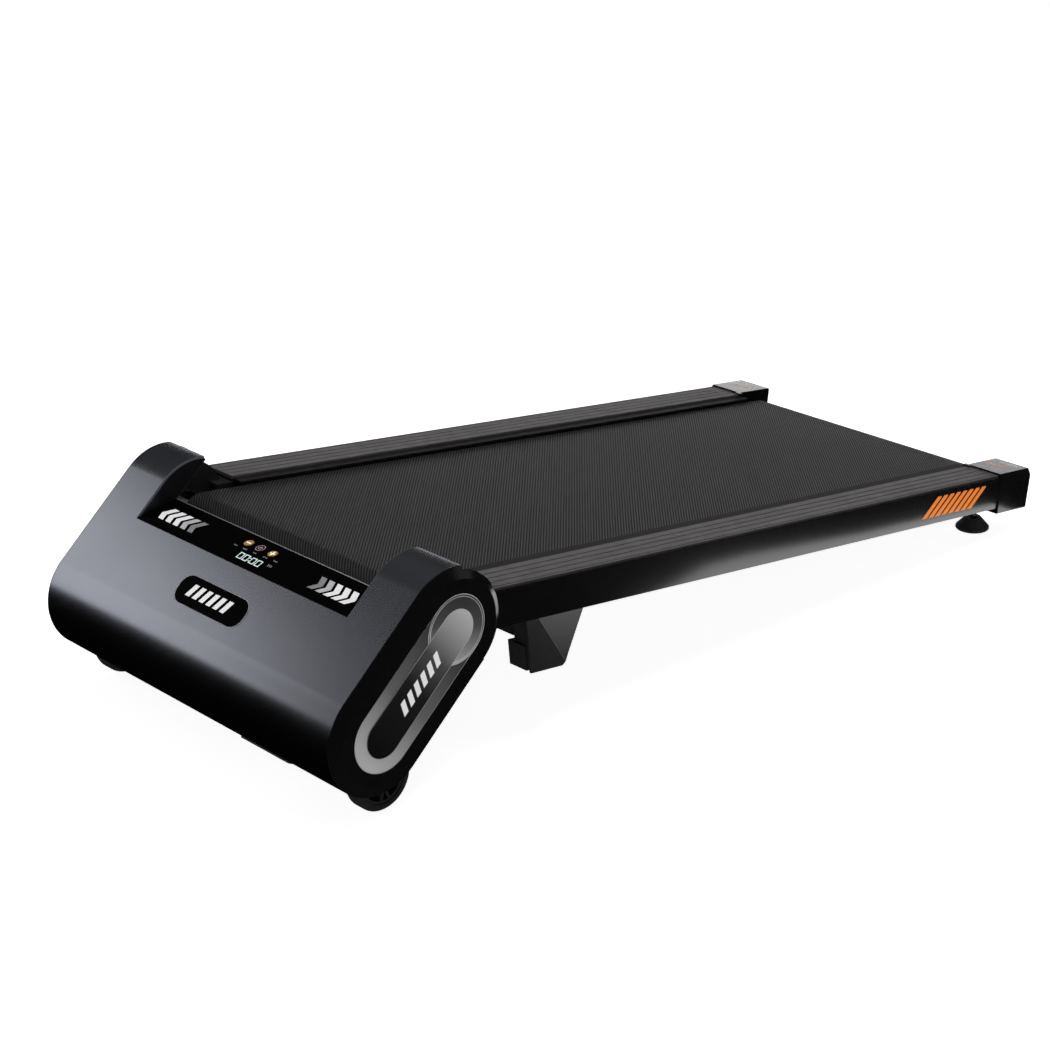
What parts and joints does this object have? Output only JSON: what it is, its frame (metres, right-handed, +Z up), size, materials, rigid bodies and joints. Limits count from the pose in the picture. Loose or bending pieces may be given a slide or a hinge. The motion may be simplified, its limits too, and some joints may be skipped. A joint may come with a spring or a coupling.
{
  "type": "treadmill",
  "caption": "Low flat walking treadmill with a swinging capsule-shaped motor hood that sets the incline, ribbed foot rails, side support blocks and levelling rear feet.",
  "frame": {"origin": "on the floor under the middle of the object's bounding box", "axes": "+X to the machine's right-hand side, +Y to the rear end of the belt, +Z up"},
  "size_m": [0.54, 1.2378, 0.2622],
  "materials": {
    "hood_paint": "gloss",
    "cap_black": "gloss",
    "trim_silver": "satin",
    "panel_black": "gloss",
    "badge_black": "gloss",
    "key_amber": "gloss",
    "key_red": "gloss",
    "board_green": "satin",
    "tray_black": "matte",
    "frame_black": "satin",
    "pin_steel": "satin",
    "motor_grey": "satin",
    "heat_sink": "satin",
    "roller_steel": "satin",
    "bearing_steel": "polished",
    "rail_black": "gloss",
    "strip_grey": "satin",
    "block_black": "satin",
    "belt_black": "matte",
    "drive_rubber": "matte",
    "foot_rubber": "matte",
    "tyre_black": "matte",
    "board_wood": "satin",
    "bush_bronze": "satin",
    "switch_black": "satin",
    "switch_red": "gloss"
  },
  "bodies": {
    "deck": {"side_rail_left": "rail_black", "side_rail_right": "rail_black", "foot_strips": "strip_grey", "pivot_knuckles": "frame_black", "pivot_bushes": "bush_bronze", "rear_cap_left": "cap_black", "rear_cap_right": "cap_black", "deck_board": "board_wood", "board_cushions": "drive_rubber", "cross_members": "frame_black", "running_belt": "belt_black", "belly_pan": "frame_black", "roller_bearings": "bearing_steel", "rear_axle": "pin_steel", "tension_bolts": "pin_steel", "incline_cradle": "frame_black", "incline_motor": "motor_grey", "block_covers": "block_black", "support_blocks": "block_black"},
    "hood": {"hood_shell": "hood_paint", "hood_rear_cover": "block_black", "hood_end_cap_left": "cap_black", "hood_end_cap_right": "cap_black", "end_trims": "trim_silver", "end_inserts": "cap_black", "hood_badge": "badge_black", "console_panel": "panel_black", "console_tray": "tray_black", "display_board": "board_green", "swing_frame": "frame_black", "pivot_pins": "pin_steel", "wheel_axles": "pin_steel", "drive_motor": "motor_grey", "drive_belt": "drive_rubber", "belt_guard": "tray_black", "motor_controller": "heat_sink", "power_inlet": "switch_black", "hood_screws": "pin_steel"},
    "front_roller_set": {"front_roller": "roller_steel", "front_shaft": "pin_steel", "roller_pulley": "heat_sink"},
    "rear_roller_tube": {"rear_roller": "roller_steel"},
    "motor_rotor": {"motor_shaft": "pin_steel", "motor_pulley": "heat_sink"},
    "wheel_left": {"wheel_tyre_left": "tyre_black", "wheel_hub_left": "tray_black"},
    "wheel_right": {"wheel_tyre_right": "tyre_black", "wheel_hub_right": "tray_black"},
    "minus_button": {"key_minus": "key_amber"},
    "mode_button": {"key_mode": "key_red"},
    "plus_button": {"key_plus": "key_amber"},
    "rocker": {"power_rocker": "switch_red"},
    "breaker": {"breaker_button": "switch_black"},
    "screw": {"lead_screw": "pin_steel"},
    "nut": {"lead_nut": "bush_bronze"},
    "stud_left": {"foot_stud_left": "pin_steel"},
    "stud_right": {"foot_stud_right": "pin_steel"},
    "pad_left": {"foot_pad_left": "foot_rubber"},
    "pad_right": {"foot_pad_right": "foot_rubber"}
  },
  "joints": [
    {"name": "incline_swing", "type": "hinge", "parent": "deck", "child": "hood", "pos_m": [0, -0.44541, 0.19259], "axis": [-1, 0, 0], "range_deg": [0, 50]},
    {"name": "front_roller_spin", "type": "hinge", "parent": "deck", "child": "front_roller_set", "pos_m": [0, -0.44541, 0.19259], "axis": [-1, 0, 0], "continuous": true},
    {"name": "rear_roller_spin", "type": "hinge", "parent": "deck", "child": "rear_roller_tube", "pos_m": [0, 0.56685, 0.05932], "axis": [-1, 0, 0], "continuous": true},
    {"name": "motor_spin", "type": "hinge", "parent": "hood", "child": "motor_rotor", "pos_m": [0, -0.53112, 0.12047], "axis": [-1, 0, 0], "continuous": true},
    {"name": "nut_travel", "type": "slide", "parent": "deck", "child": "nut", "axis": [0, -0.9914, 0.1305], "range_m": [0, 0.05243]},
    {"name": "screw_spin", "type": "hinge", "parent": "deck", "child": "screw", "pos_m": [0, -0.45272, 0.13707], "axis": [0, 0.9914, -0.1305], "range_deg": [0, 3764.3]},
    {"name": "wheel_left_roll", "type": "hinge", "parent": "hood", "child": "wheel_left", "pos_m": [-0.237, -0.5334, 0.0382], "axis": [1, 0, 0], "continuous": true},
    {"name": "wheel_right_roll", "type": "hinge", "parent": "hood", "child": "wheel_right", "pos_m": [0.237, -0.5334, 0.0382], "axis": [1, 0, 0], "continuous": true},
    {"name": "minus_press", "type": "slide", "parent": "hood", "child": "minus_button", "axis": [0, 0.1415, -0.9899], "range_m": [0, 0.0008], "stiffness_N_per_m": 600, "springref_m": -0.0015},
    {"name": "mode_press", "type": "slide", "parent": "hood", "child": "mode_button", "axis": [0, 0.1415, -0.9899], "range_m": [0, 0.0008], "stiffness_N_per_m": 600, "springref_m": -0.0015},
    {"name": "plus_press", "type": "slide", "parent": "hood", "child": "plus_button", "axis": [0, 0.1415, -0.9899], "range_m": [0, 0.0008], "stiffness_N_per_m": 600, "springref_m": -0.0015},
    {"name": "power_rock", "type": "hinge", "parent": "hood", "child": "rocker", "pos_m": [0.114, -0.5798, 0.04454], "axis": [-1, 0, 0], "range_deg": [0, 16]},
    {"name": "breaker_pop", "type": "slide", "parent": "hood", "child": "breaker", "axis": [0, -0.4679, -0.8838], "range_m": [0, 0.003]},
    {"name": "foot_left_height", "type": "slide", "parent": "deck", "child": "stud_left", "axis": [0, -0.1305, -0.9914], "range_m": [0, 0.008]},
    {"name": "foot_left_tilt", "type": "hinge", "parent": "stud_left", "child": "pad_left", "pos_m": [-0.212, 0.56554, 0.011], "axis": [-1, 0, 0], "range_deg": [-4, 14]},
    {"name": "foot_right_height", "type": "slide", "parent": "deck", "child": "stud_right", "axis": [0, -0.1305, -0.9914], "range_m": [0, 0.008]},
    {"name": "foot_right_tilt", "type": "hinge", "parent": "stud_right", "child": "pad_right", "pos_m": [0.212, 0.56554, 0.011], "axis": [-1, 0, 0], "range_deg": [-4, 14]}
  ],
  "couplings": [
    {"joint": "rear_roller_spin", "follows": "front_roller_spin", "ratio": 1},
    {"joint": "motor_spin", "follows": "front_roller_spin", "ratio": 2.0769},
    {"joint": "nut_travel", "follows": "incline_swing", "m_per_rad": 0.059847},
    {"joint": "screw_spin", "follows": "incline_swing", "ratio": 75.206}
  ]
}
